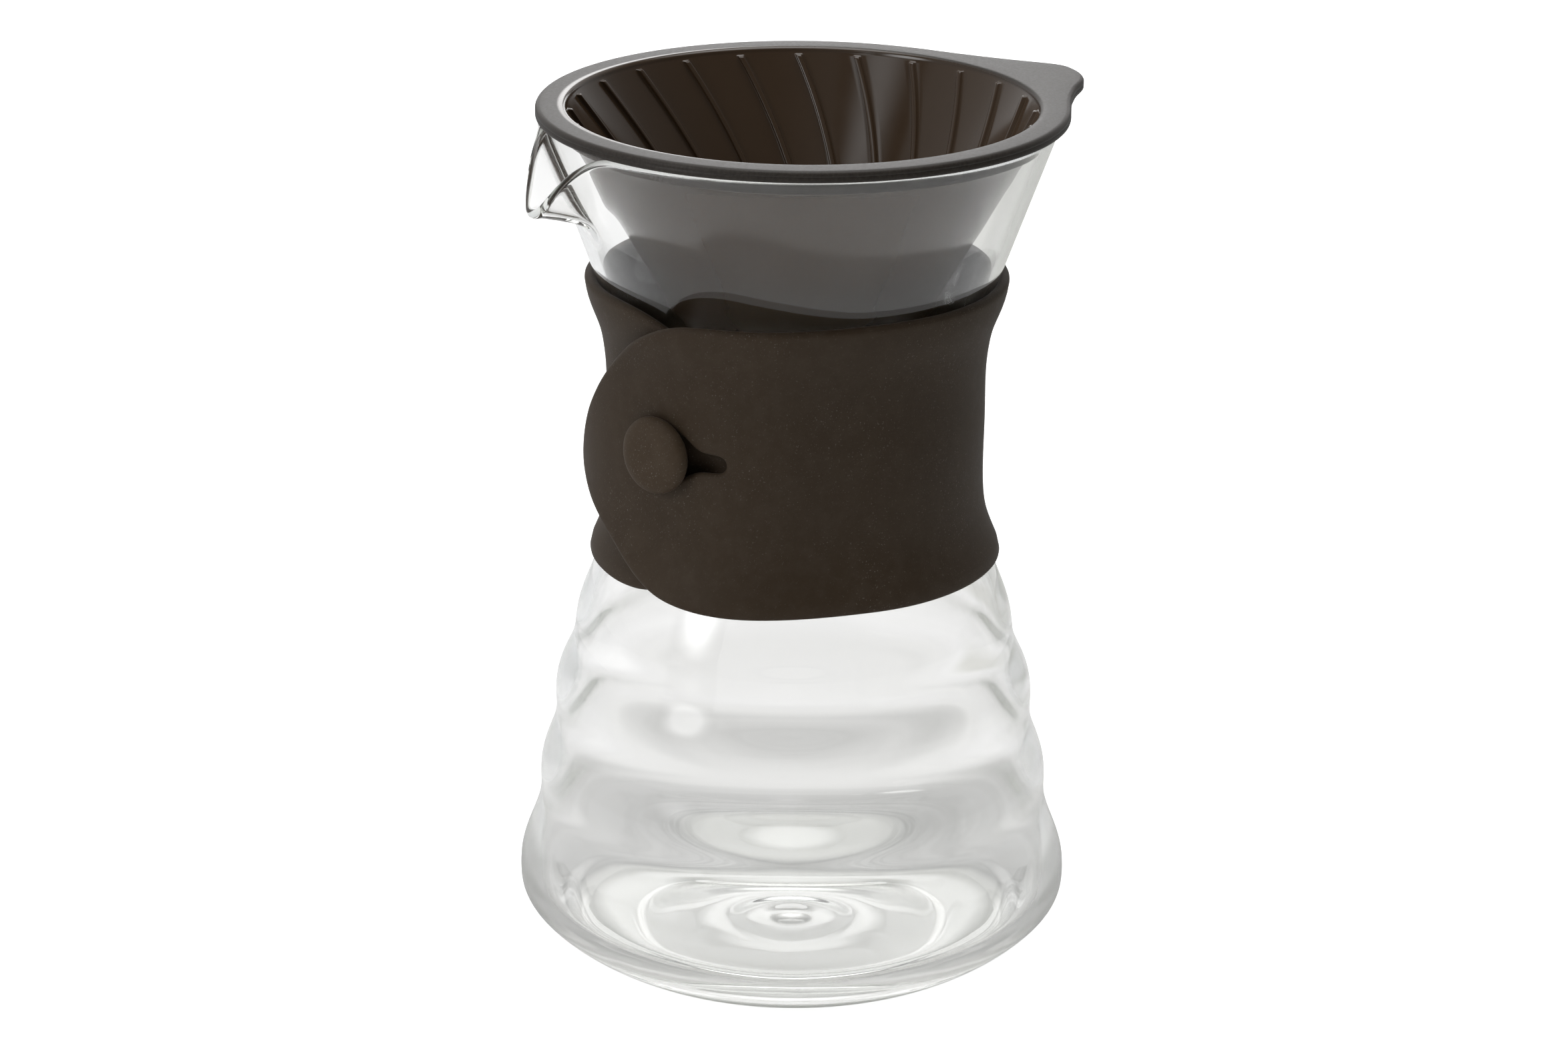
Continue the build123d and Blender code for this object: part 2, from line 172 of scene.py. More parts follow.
# --------------------------------------------------------------------------
# node materials
# --------------------------------------------------------------------------
class Nodes:
    """Short calls for the nodes of a material or a world."""

    def __init__(self, owner, output_kind):
        owner.use_nodes = True
        self.tree = owner.node_tree
        self.tree.nodes.clear()
        self.output = self.node(output_kind)

    def put(self, socket, value):
        """Link a socket to an input, or set the input's plain value."""
        if isinstance(value, bpy.types.NodeSocket):
            self.tree.links.new(value, socket)
        else:
            socket.default_value = value

    def node(self, kind, props=None, **inputs):
        """A node; underscores in input names stand for spaces."""
        node = self.tree.nodes.new(kind)
        for name, value in (props or {}).items():
            setattr(node, name, value)
        for name, value in inputs.items():
            self.put(node.inputs[name.replace("_", " ")], value)
        return node

    def surface(self, shader):
        self.put(self.output.inputs["Surface"], shader.outputs[0])

    def coords(self, kind="Object"):
        return self.node("ShaderNodeTexCoord").outputs[kind]

    def noise(self, vector, scale, detail, rough, distortion=0.0):
        return self.node(
            "ShaderNodeTexNoise", Vector=vector, Scale=scale, Detail=detail,
            Roughness=rough, Distortion=distortion,
        ).outputs["Fac"]

    def ramp(self, factor, stops):
        """Colour ramp; stops are (position, (red, green, blue))."""
        node = self.node("ShaderNodeValToRGB", Fac=factor)
        elements = node.color_ramp.elements
        while len(elements) < len(stops):
            elements.new(0.5)
        for element, (position, color) in zip(elements, stops):
            element.position = position
            element.color = (*color, 1.0)
        return node.outputs["Color"]

    def remap(self, value, span, to=(0.0, 1.0)):
        return self.node(
            "ShaderNodeMapRange", Value=value, From_Min=span[0], From_Max=span[1],
            To_Min=to[0], To_Max=to[1],
        ).outputs["Result"]

    def calc(self, operation, first, second=0.0):
        node = self.node("ShaderNodeMath", {"operation": operation})
        self.put(node.inputs[0], first)
        self.put(node.inputs[1], second)
        return node.outputs[0]

    def axis_distance(self, xyz):
        """Distance from the Z axis, from the outputs of a Separate XYZ node."""
        squares = [self.calc("MULTIPLY", xyz[axis], xyz[axis]) for axis in "XY"]
        return self.calc("SQRT", self.calc("ADD", *squares))

    def mix(self, factor, first, second, data="RGBA", blend="MIX"):
        props = {"data_type": data, "blend_type": blend}
        node = self.node("ShaderNodeMix", props, Factor=factor, A=first, B=second)
        return node.outputs["Result"]

    def mix_shader(self, factor, first, second):
        node = self.node("ShaderNodeMixShader")
        for socket, value in zip(node.inputs, (factor, first.outputs[0], second.outputs[0])):
            self.put(socket, value)
        return node

    def bump(self, height, strength, distance, normal=None):
        node = self.node(
            "ShaderNodeBump", Height=height, Strength=strength, Distance=distance
        )
        if normal is not None:
            self.put(node.inputs["Normal"], normal)
        return node.outputs["Normal"]


def new_material(name):
    material = bpy.data.materials.new(name)
    return material, Nodes(material, "ShaderNodeOutputMaterial")


def glass_material():
    """Clear glass: faint waviness and smudges, and a slight tint where it is thick."""
    material, m = new_material("clear_glass")
    co = m.coords()
    wave = m.noise(co, scale=38.0, detail=2.0, rough=0.45, distortion=0.3)
    waviness = m.bump(wave, strength=0.10, distance=0.0006)
    smudge = m.noise(co, scale=60.0, detail=4.0, rough=0.6)
    rough = m.remap(smudge, span=(0.55, 0.85), to=(0.0, 0.012))
    glass = m.node(
        "ShaderNodeBsdfGlass", IOR=1.47, Roughness=rough, Normal=waviness,
        Color=(0.997, 0.997, 0.996, 1),
    )
    clear = m.node("ShaderNodeBsdfTransparent", Color=(0.885, 0.89, 0.885, 1))
    path = m.node("ShaderNodeLightPath").outputs

    def beyond(depth, limit):
        return m.calc("GREATER_THAN", path[depth], limit)

    # light trapped in the wall leaves it after a few turns instead of going black
    trapped = beyond("Transmission Depth", limit=7.5)
    guided = m.calc("MAXIMUM", beyond("Ray Depth", limit=9.5), beyond("Glossy Depth", limit=2.5))
    soft = m.calc("MAXIMUM", path["Is Shadow Ray"], path["Is Diffuse Ray"])
    soft = m.calc("MAXIMUM", m.calc("MAXIMUM", soft, trapped), guided)
    m.surface(m.mix_shader(soft, glass, clear))
    absorb = m.node("ShaderNodeVolumeAbsorption", Density=10.0, Color=(0.95, 0.95, 0.88, 1))
    m.put(m.output.inputs["Volume"], absorb.outputs[0])
    return material


def plastic_material():
    """Dark moulded plastic: fine satin texture on the flange, polished cone inside."""
    material, m = new_material("moulded_plastic")
    co = m.coords()
    distance = m.axis_distance(m.node("ShaderNodeSeparateXYZ", Vector=co).outputs)
    # 0 inside the flange's inner lip, 1 outside it
    flange = m.remap(distance, span=(0.05155, 0.0521))
    fine_grain = m.noise(co, scale=5200.0, detail=2.0, rough=0.6)
    grain = m.noise(co, scale=1500.0, detail=3.0, rough=0.6)
    cloud = m.noise(co, scale=45.0, detail=4.0, rough=0.6)
    cone_color = m.ramp(cloud, [(0.3, (0.0390, 0.0226, 0.0114)), (0.75, (0.0430, 0.0257, 0.0137))])
    flange_color = m.ramp(grain, [(0.3, (0.0235, 0.0190, 0.0155)), (0.8, (0.0430, 0.0362, 0.0305))])
    color = m.mix(flange, cone_color, flange_color)
    cone_rough = m.remap(cloud, span=(0.3, 0.8), to=(0.13, 0.20))
    flange_rough = m.remap(grain, span=(0.2, 0.8), to=(0.36, 0.50))
    rough = m.mix(flange, cone_rough, flange_rough, data="FLOAT")
    grain_strength = m.remap(flange, span=(0.0, 1.0), to=(0.0, 0.22))
    normal = m.bump(fine_grain, strength=grain_strength, distance=0.00008)
    swell = m.noise(co, scale=22.0, detail=2.0, rough=0.5)
    normal = m.bump(swell, strength=0.06, distance=0.0008, normal=normal)
    specular = m.remap(flange, span=(0.0, 1.0), to=(0.5, 0.235))
    m.surface(m.node(
        "ShaderNodeBsdfPrincipled", Normal=normal, Base_Color=color, Roughness=rough,
        IOR=1.52, Specular_IOR_Level=specular,
    ))
    return material


def silicone_material(name, brightness=1.0):
    """Matte dark brown silicone with a dusty bloom and a fine moulded texture."""
    material, m = new_material(name)
    co = m.coords()
    cloud = m.noise(co, scale=32.0, detail=5.0, rough=0.62)
    mottle = m.noise(co, scale=260.0, detail=4.0, rough=0.6)
    dust = m.noise(co, scale=2600.0, detail=2.0, rough=0.5)
    specks = m.ramp(dust, [(0.63, (0, 0, 0)), (0.74, (1, 1, 1))])
    browns = [(0.25, (0.0350, 0.0206, 0.0092)), (0.8, (0.0425, 0.0264, 0.0132))]
    base = m.ramp(cloud, [(at, [c * brightness for c in color]) for at, color in browns])
    bloom = m.ramp(mottle, [(0.42, (0.0, 0.0, 0.0)), (0.80, (0.024, 0.022, 0.020))])
    bloomed = m.mix(0.55, base, bloom, blend="ADD")
    patches = m.noise(co, scale=45.0, detail=3.0, rough=0.6)
    patchy = m.remap(patches, span=(0.42, 0.68), to=(0.16, 0.85))
    dust_color = (0.15, 0.13, 0.115, 1)
    color = m.mix(m.calc("MULTIPLY", specks, patchy), bloomed, dust_color)
    rough = m.remap(mottle, span=(0.2, 0.85), to=(0.60, 0.76))
    texture = m.noise(co, scale=1300.0, detail=3.0, rough=0.6)
    normal = m.bump(texture, strength=0.20, distance=0.00012)
    swell = m.noise(co, scale=70.0, detail=2.0, rough=0.5)
    normal = m.bump(swell, strength=0.08, distance=0.0008, normal=normal)
    m.surface(m.node(
        "ShaderNodeBsdfPrincipled", Normal=normal, Base_Color=color, Roughness=rough,
        IOR=1.41, Specular_IOR_Level=0.40, Sheen_Weight=0.03, Sheen_Roughness=0.5,
    ))
    return material


# --------------------------------------------------------------------------
# glass decanter
# --------------------------------------------------------------------------
# underside of the foot: (radius, height)
FOOT = [
    (0.0, 1.72), (4.0, 1.71), (9.0, 1.62), (11.5, 1.5), (13.5, 1.2), (15.5, 1.08),
    (18.0, 1.08), (21.0, 1.0), (25.0, 0.75), (30.0, 0.32), (33.6, 0.0),
]
# outside of the glass up to the neck: (height, radius)
OUTER = [
    (0.16, 36.59), (0.73, 38.87), (1.68, 41.64), (2.97, 44.67), (4.55, 47.78), (6.36, 50.82),
    (8.32, 53.64), (10.33, 56.12), (12.3, 58.17), (14.12, 59.69), (16.2, 60.75), (19.4, 61.08),
    (22.4, 60.95), (25.4, 60.27), (28.4, 59.16), (31.4, 58.0), (34.4, 57.05), (37.4, 56.45),
    (40.4, 56.40), (43.4, 56.42), (46.4, 55.98), (49.4, 55.04), (52.4, 53.87), (55.4, 53.05),
    (58.4, 52.85), (61.4, 52.99), (64.4, 52.74), (67.4, 51.95), (70.4, 50.6), (73.4, 49.25),
    (76.4, 48.6), (79.4, 48.3), (82.4, 47.65), (85.5, 46.6), (89.3, 45.1), (91.8, 44.1),
    (94.6, 42.9), (97.5, 41.7), (100.4, 40.56), (103.2, 39.58), (106.1, 38.99), (108.9, 38.7),
    (111.8, 38.58), (114.6, 38.56), (120.4, 38.66), (126.1, 38.79), (134.6, 38.81),
    (137.5, 38.91), (140.4, 39.18), (143.2, 39.58), (146.1, 40.13), (148.9, 41.0),
    (151.8, 42.05), (154.8, 43.07), (157.8, 43.99),
]
# top of the floor inside: (radius, height)
FLOOR_INSIDE = [
    (0.0, 4.86), (1.6, 4.80), (3.4, 4.60), (5.4, 4.36), (7.8, 4.22), (10.5, 4.2), (12.0, 4.2),
    (20.0, 4.2), (30.0, 4.22), (36.0, 4.35), (40.5, 4.8), (45.0, 5.9), (49.0, 7.7),
]
NECK_Z, NECK_R = 160.8, 45.08
MOUTH_FLARE = 0.3629  # radius gained per height in the mouth
WALL = 2.15
# wall thickness by height, below the neck: (height, thickness)
WALL_BY_HEIGHT = [(8, 3.0), (16, 2.6), (30, 2.3), (70, 2.2), (110, 2.15), (160, WALL)]
GLASS_STEP = 0.6  # spacing of profile points
RIM_Z = 192.9  # nothing of the glass rises above this
MOUTH_ROWS = 64
BEAD_STEPS = 10


def mouth_r(z):
    """Outer radius of the plain conical mouth."""
    return NECK_R + (z - NECK_Z) * MOUTH_FLARE


EDGE_R, EDGE_Z = mouth_r(190.0) + 0.42, 191.35
WALL_BEND_Z = 188.6  # the plain mouth turns to its edge here
SPOUT_HALF_ANGLE = 22.0
# edge of the spout: (angle from -X, height, radius)
SPOUT_EDGE = [
    (0.0, 177.2, 63.3), (2.5, 177.9, 62.9), (4.4, 180.2, 62.2), (7.0, 184.2, 60.9),
    (9.0, 186.6, 59.9), (11.0, 188.6, 58.8), (13.5, 190.3, 57.6), (16.0, 191.1, 56.8),
    (18.5, EDGE_Z, 56.3), (SPOUT_HALF_ANGLE, EDGE_Z, EDGE_R),
]
# V channel of the spout: height at a distance from the axis along -X, its slope along that
# direction and the slope of its sides; it meets the wall no higher than CHANNEL_MAX_Z
CHANNEL_Z, CHANNEL_AT, CHANNEL_SLOPE, CHANNEL_SIDE = 172.6, 50.2, 0.26, 0.985
CHANNEL_MAX_Z = 189.6


def glass_outer_r(z):
    heights, radii = zip(*OUTER, (NECK_Z, NECK_R), (190.2, mouth_r(190.2)))
    return np.interp(z, heights, radii)


def glass_profiles():
    """Outside and inside (radius, height) curves, from the axis to the neck."""
    side = [(r, z) for z, r in OUTER] + [(NECK_R, NECK_Z)]
    outside = soften(spline_through(FOOT + side, GLASS_STEP), 1.6)
    # the inside is offset from a softened copy of the outside, and runs down to the floor
    guide = soften(spline_through(side[6:], GLASS_STEP), 8.0)
    wall = np.interp(guide[:, 1], *zip(*WALL_BY_HEIGHT))
    offset = guide + left_of(unit(np.gradient(guide, axis=0))) * wall[:, None]
    points = FLOOR_INSIDE + [tuple(p) for p in offset[4::4]]
    # every fourth point may miss the last one
    if np.linalg.norm(np.array(points[-1]) - offset[-1]) > 0.05:
        points.append(tuple(offset[-1]))
    return outside, soften(spline_through(points, GLASS_STEP), 1.2)


def channel_crease_z(angle):
    """Height where the V of the spout's channel meets the wall."""
    rounded = math.radians(math.sqrt(angle * angle + 1.0))
    z = 182.0
    for _ in range(30):
        radius = mouth_r(z)
        out, aside = radius * math.cos(rounded), radius * math.sin(rounded)
        channel = CHANNEL_Z + (out - CHANNEL_AT) * CHANNEL_SLOPE + CHANNEL_SIDE * aside
        z = 0.5 * z + 0.5 * channel
    return min(z, CHANNEL_MAX_Z)


def mouth_section(angle):
    """(radius, height) curve from the neck to the edge, at an angle from the spout."""
    if angle < SPOUT_HALF_ANGLE:
        bend_z = channel_crease_z(angle)
        angles, heights, radii = zip(*SPOUT_EDGE)
        edge = (np.interp(angle, angles, radii), np.interp(angle, angles, heights))
        sigma = 5.0
    else:
        bend_z = WALL_BEND_Z
        edge = (EDGE_R, EDGE_Z)
        sigma = 2.0
    path = np.array([(NECK_R, NECK_Z), (mouth_r(bend_z), bend_z), edge])
    return soften(resample(path, MOUTH_ROWS), sigma)


def around(grid):
    """The grid's neighbours on both sides, along its closed columns."""
    return np.roll(grid, 1, 1), np.roll(grid, -1, 1)


def mouth_outside(from_spout, cos_az, sin_az):
    """Outside of the mouth from the neck to the rim, with the pulled spout."""
    sections = np.stack([mouth_section(abs(angle)) for angle in from_spout], 1)
    radius, height = sections[..., 0], sections[..., 1]
    mouth = np.stack([radius * cos_az, radius * sin_az, height], 2)
    # even out the grid near the spout so that it flows
    near = smoothstep((27.0 - np.abs(from_spout)) / 6.0)[None, :, None]
    rise = smoothstep((np.arange(MOUTH_ROWS) - 14.0) / 8.0)[:, None, None]
    weight = near * rise * 0.5
    weight[-1] *= 0.35
    for _ in range(60):
        before, after = around(mouth)
        average = mouth.copy()
        average[1:-1] = (mouth[:-2] + mouth[2:]) * 0.25 + (before[1:-1] + after[1:-1]) * 0.25
        average[-1] = mouth[-1] * 0.5 + (before[-1] + after[-1]) * 0.25
        mouth = mouth + (average - mouth) * weight
    return mouth


def build_glass():
    outside, inside = glass_profiles()
    # columns are finer round the spout
    turn = np.concatenate([np.linspace(-30, 30, 121)[:-1], np.linspace(30, 330, 241)[:-1]])
    from_spout = (turn + 180.0) % 360.0 - 180.0
    cols = len(turn)
    azimuth = np.radians(180.0 + turn)
    cos_az, sin_az = np.cos(azimuth), np.sin(azimuth)

    def turned(profile):
        radius, height = profile[:, 0:1], profile[:, 1:2]
        return np.stack([radius * cos_az, radius * sin_az, np.repeat(height, cols, 1)], 2)

    mouth = mouth_outside(from_spout, cos_az, sin_az)
    before, after = around(mouth)
    upward = np.gradient(mouth, axis=0)
    mouth_in = mouth - unit(np.cross(after - before, upward)) * WALL
    # at the neck the inside joins the turned profile exactly
    blend_up = smoothstep(np.arange(MOUTH_ROWS) / 6.0)[:, None, None]
    shift = turned(inside[-1:])[0] - mouth_in[0]
    mouth_in = mouth_in + shift[None] * (1 - blend_up)

    # rounded rim, a little thicker than the wall
    middle, half = (mouth[-1] + mouth_in[-1]) / 2, (mouth[-1] - mouth_in[-1]) / 2
    rim_up = unit(upward)[-1]
    bead = []
    for k in range(1, BEAD_STEPS):
        a = math.pi * k / BEAD_STEPS
        sideways = half * math.cos(a) * (1 + 0.10 * math.sin(a))
        bead.append(middle + sideways + rim_up * WALL / 2 * 1.08 * math.sin(a))

    rows = np.concatenate([
        turned(outside[1:-1]), mouth, np.array(bead), mouth_in[::-1], turned(inside[1:-1])[::-1],
    ])
    verts = rows.reshape(-1, 3)
    faces = grid_faces(len(rows), cols)
    # close the foot and the floor at the axis
    foot_hub, floor_hub = len(verts), len(verts) + 1
    verts = np.concatenate([verts, [[0, 0, outside[0, 1]], [0, 0, inside[0, 1]]]])
    last = (len(rows) - 1) * cols
    for i in range(cols):
        k = (i + 1) % cols
        faces.append((foot_hub, k, i))
        faces.append((floor_hub, last + i, last + k))
    verts[:, 2] = np.minimum(verts[:, 2], RIM_Z)
    return mesh_piece("glass_body", verts, faces)


# --------------------------------------------------------------------------
# dripper cone with spiral ribs, flange and finger tab
# --------------------------------------------------------------------------
CONE_TOP_R, CONE_TOP_Z = 51.2, 195.0
CONE_HALF_ANGLE = math.radians(30.0)
CONE_SLOPE = math.tan(CONE_HALF_ANGLE)
OUTLET_R, OUTLET_OUTER_R = 10.0, 12.0
OUTLET_Z = CONE_TOP_Z - (CONE_TOP_R - OUTLET_R) / CONE_SLOPE  # the cone ends in a short tube
CONE_WALL = 2.2 / math.cos(CONE_HALF_ANGLE)  # measured level
FLANGE_TOP, FLANGE_R = 195.5, 57.6
FLANGE_UNDER_Z = 192.96
SKIRT_Z = 189.5  # bottom of the step under the flange
TOP_ROUND, UNDER_ROUND = 0.95, 0.42  # edge radii of the flange
LIP_R, LIP_Z, LIP_ROUND = 51.96, 194.42, 1.05  # centre and radius of the inner lip's arc
INSERT_SHIFT = (0.80, -0.43, 0.0)  # it sits a little to one side in the loose mouth
# half outlines of the finger tab: (angle from +X, radius); it is squarer on its +Y side
TAB_PLUS_Y = [
    (0, 68.55), (1.5, 68.75), (3, 68.75), (4.5, 68.3), (6, 67.3), (8, 65.75), (10.5, 64.0),
    (13, 62.5), (16, 61.0), (20, 59.55), (25, 58.3), (30, 57.75), (36, FLANGE_R), (180, FLANGE_R),
]
TAB_MINUS_Y = [
    (0, 68.55), (1.5, 68.4), (3, 68.0), (5, 67.3), (7, 66.2), (8.8, 64.9), (10.5, 63.5),
    (12.5, 62.05), (15, 60.7), (19.5, 58.95), (25, 57.85), (30, 57.62), (36, FLANGE_R),
    (180, FLANGE_R),
]
# cross-section of a rib: (offset sideways in mm, share of full height)
RIB = [
    (-0.98, 0.0), (-0.74, 0.05), (-0.63, 0.72), (-0.52, 0.95), (-0.25, 1.0), (0.0, 1.0),
    (0.25, 1.0), (0.52, 0.95), (0.63, 0.72), (0.74, 0.05), (0.98, 0.0),
]
RIB_COUNT, RIB_PHASE = 24, 62.8  # every other rib is long; azimuth of the first at the top
RIB_TOP_Z, RIB_HEIGHT = 193.9, 1.25
GAP_STEPS = 9  # columns between neighbouring ribs, plus one
RIB_COLUMNS = len(RIB) + GAP_STEPS - 1


def cone_r(z):
    return CONE_TOP_R - (CONE_TOP_Z - z) * CONE_SLOPE


def rib_twist(depth):
    """Degrees a rib has turned at a depth below its top."""
    return 0.56 * depth - 0.0018 * depth**2 + 0.00002 * depth**3


def tab_radius(angle):
    """Outer radius of the flange and its tab, at an angle from +X."""
    fine = np.linspace(-60, 60, 2401)
    plus, minus = (np.interp(np.abs(fine), *zip(*tab)) for tab in (TAB_PLUS_Y, TAB_MINUS_Y))
    outline = np.where(fine >= 0, plus, minus)
    soft = np.convolve(np.pad(outline, 48, mode="edge"), gaussian(48, 16.0), "valid")
    return np.interp(angle, fine, soft)


def rib_azimuths(radius, depth):
    """Azimuth of every column at a radius and depth."""
    period = 360.0 / RIB_COUNT
    edge = math.degrees(RIB[-1][0] / radius)
    azimuths = []
    for i in range(RIB_COUNT):
        middle = RIB_PHASE + period * i - rib_twist(depth)
        azimuths += [middle + math.degrees(offset / radius) for offset, _ in RIB]
        for k in range(1, GAP_STEPS):
            azimuths.append(middle + edge + (period - 2 * edge) * k / GAP_STEPS)
    return np.array(azimuths)


def ring(azimuth, radius, z):
    a = np.radians(azimuth)
    return np.stack([radius * np.cos(a), radius * np.sin(a), np.full(a.shape, z)], 1)


def ribbed_rows(outlet_az):
    """Inside of the cone, from the outlet up to the top of the ribs."""
    rows = [ring(outlet_az, OUTLET_R, z) for z in (121.3, 121.8, OUTLET_Z - 0.6)]
    heights = np.array(([h for _, h in RIB] + [0.0] * (GAP_STEPS - 1)) * RIB_COUNT)
    is_long = np.repeat(np.arange(RIB_COUNT), RIB_COLUMNS) % 2 == 0
    for z in list(np.linspace(OUTLET_Z + 0.4, 193.3, 58)) + [193.62, 193.80, 193.90]:
        depth = RIB_TOP_Z - z
        radius = cone_r(z)
        # ribs fade out at their lower ends, and the long ones get lower on the way down
        taper = 0.78 + 0.22 * smoothstep((60 - depth) / 40.0)
        long_height = RIB_HEIGHT * smoothstep((67.5 - depth) / 5.0) * taper
        short_height = RIB_HEIGHT * smoothstep((45.0 - depth) / 3.5)
        # and their upper ends are slightly rounded
        top = 0.86 if z > 193.85 else (0.97 if z > 193.7 else 1.0)
        rib = heights * np.where(is_long, long_height, short_height) * top * 0.8
        rows.append(ring(rib_azimuths(max(radius, OUTLET_OUTER_R), depth), radius - rib, z))
    return rows


def flange_rows(top_az):
    """From the top of the cone over the lip and the flange to the step beneath it."""
    rows = [ring(top_az, cone_r(z), z) for z in (193.93, 194.15, 194.35)]
    for a in np.radians([8, 20, 33, 46, 59, 72, 84]):
        rows.append(ring(top_az, LIP_R - LIP_ROUND * math.cos(a), LIP_Z + LIP_ROUND * math.sin(a)))
    rim = tab_radius((top_az + 180.0) % 360.0 - 180.0)
    for f in (0.0, 0.25, 0.5, 0.75, 1.0):
        rows.append(ring(top_az, 52.25 + (rim - 1.15 - 52.25) * f, FLANGE_TOP - 0.03 * f * f))
    for a in np.radians([72, 54, 36, 18, 4]):
        radius = rim - TOP_ROUND + TOP_ROUND * math.cos(a)
        rows.append(ring(top_az, radius, FLANGE_TOP - 0.97 + TOP_ROUND * math.sin(a)))
    # side with a shallow groove round it: (radius change, height)
    for change, z in ((0.0, 194.45), (0.0, 194.32), (-0.07, 194.26), (-0.07, 194.20),
                      (0.0, 194.14), (0.0, 193.45)):
        rows.append(ring(top_az, rim + change, z))
    for a in np.radians([0, 30, 60, 90]):
        radius = rim - UNDER_ROUND + UNDER_ROUND * math.cos(a)
        rows.append(ring(top_az, radius, FLANGE_UNDER_Z + UNDER_ROUND * (1 - math.sin(a))))
    for f in (0.33, 0.66, 1.0):
        radius = rim - UNDER_ROUND + (52.75 - rim + UNDER_ROUND) * f
        rows.append(ring(top_az, radius, FLANGE_UNDER_Z))
    # step under the flange: (radius, height)
    for radius, z in ((52.4, 192.8), (52.3, 191.0), (52.3, 189.9), (52.1, 189.6), (51.8, SKIRT_Z)):
        rows.append(ring(top_az, radius, z))
    return rows


def outside_rows(top_az, outlet_az):
    """Outside of the cone, down to the bottom edge of the outlet."""
    start_z = 189.2
    rows = [
        ring(top_az, cone_r(SKIRT_Z) + CONE_WALL + 0.35, SKIRT_Z),
        ring(top_az, cone_r(start_z) + CONE_WALL, start_z),
    ]
    for f in np.linspace(0.03, 1.0, 40):
        z = start_z + (OUTLET_Z - start_z) * f
        rows.append(ring(top_az * (1 - f) + outlet_az * f, cone_r(z) + CONE_WALL, z))
    # outlet tube: (radius, height)
    for radius, z in ((12.25, OUTLET_Z - 0.6), (12.05, OUTLET_Z - 1.0), (OUTLET_OUTER_R, 121.7),
                      (11.7, 121.3), (11.3, 121.2), (10.4, 121.2)):
        rows.append(ring(outlet_az, radius, z))
    return rows


def build_dripper():
    outlet_az = rib_azimuths(OUTLET_OUTER_R, RIB_TOP_Z - OUTLET_Z)
    top_az = rib_azimuths(50.0, 0.0)
    rows = ribbed_rows(outlet_az) + flange_rows(top_az) + outside_rows(top_az, outlet_az)
    rows = np.array(rows) + np.array(INSERT_SHIFT)
    faces = grid_faces(len(rows), RIB_COUNT * RIB_COLUMNS, closed_rows=True, flip=True)
    return mesh_piece("cone_insert", rows.reshape(-1, 3), faces)


# --------------------------------------------------------------------------
# silicone band, one strip with a buttonhole
# --------------------------------------------------------------------------
# The strip is drawn flat. Its first coordinate runs along it from the inner end, under the
# flap, towards smaller azimuth, to the flap's free end: "along", in degrees, or in mm once
# multiplied by MM_PER_DEGREE. Its second coordinate is the height.

# outside of the band: (height, radius)
BAND = [
    (93.6, 45.15), (95.4, 45.3), (97.5, 44.42), (100.4, 43.21), (103.2, 42.23), (106.1, 41.64),
    (111.8, 41.23), (120.4, 41.31), (126.1, 41.44), (134.6, 41.46), (140.4, 41.83),
    (143.2, 42.23), (146.1, 42.78), (148.9, 43.73), (151.8, 44.92), (154.6, 45.85), (157.9, 46.35),
]
BAND_T = 2.5
BAND_ROUND = 1.05  # how far the rounding of the edges reaches in
SPLIT_AZ, INNER_END_AZ = 281.7, 227.7
SPLIT_ALONG = 360.0 + INNER_END_AZ - SPLIT_AZ
FLAP_RISE = 4.6
ARC_R = 41.4
MM_PER_DEGREE = math.pi / 180.0 * ARC_R
BUTTON_AZ, BUTTON_Z = 202.7, 127.6
HOLE_R = 6.6  # round part of the buttonhole
SLOT_END, SLOT_END_R = (14.0, -0.55), 2.1  # centre of the slot's round end, from the button
# edges of the slot: (distance right of the button as seen from outside, height above it)
SLOT_LOW = [(6.0, -4.4), (8.0, -3.3), (9.6, -2.75), (11.4, -2.65), (13.2, -2.6)]
SLOT_HIGH = [(13.2, 1.5), (11.4, 1.6), (9.6, 2.0), (8.0, 3.1), (6.0, 4.7)]
# inner end, lower and upper half: (along, height)
INNER_END_LOW = [
    (0.0, 126.0), (0.9, 118.5), (3.6, 111.6), (8.0, 105.6), (14.5, 100.6), (22.0, 97.3),
    (31.0, 95.0), (40.0, 94.1),
]
INNER_END_HIGH = [
    (40.0, 158.0), (31.0, 157.0), (22.0, 154.3), (14.5, 150.6), (8.0, 145.2), (3.6, 139.2),
    (0.9, 132.6),
]
# flap, along its lower edge to the tip and back along the upper one: (azimuth, height)
FLAP = [
    (217.0, 94.35), (211.0, 94.9), (205.5, 95.7), (199.5, 97.3), (194.8, 99.1), (189.6, 101.5),
    (183.6, 104.6), (176.1, 108.3), (170.4, 111.2), (166.6, 113.6), (163.6, 116.2),
    (162.6, 118.8),
    (163.6, 121.8), (166.4, 126.3), (170.6, 131.8), (176.5, 137.7), (183.9, 143.8),
    (189.8, 148.0), (196.9, 152.3), (202.1, 154.8), (207.8, 156.9), (213.8, 158.0),
]
LOW_EDGE_Z, HIGH_EDGE_Z = 93.9, 158.2
GRID_STEP = 1.5


def flap_along(azimuth):
    """Place along the strip of an azimuth in its second turn."""
    return INNER_END_AZ - azimuth + 360.0


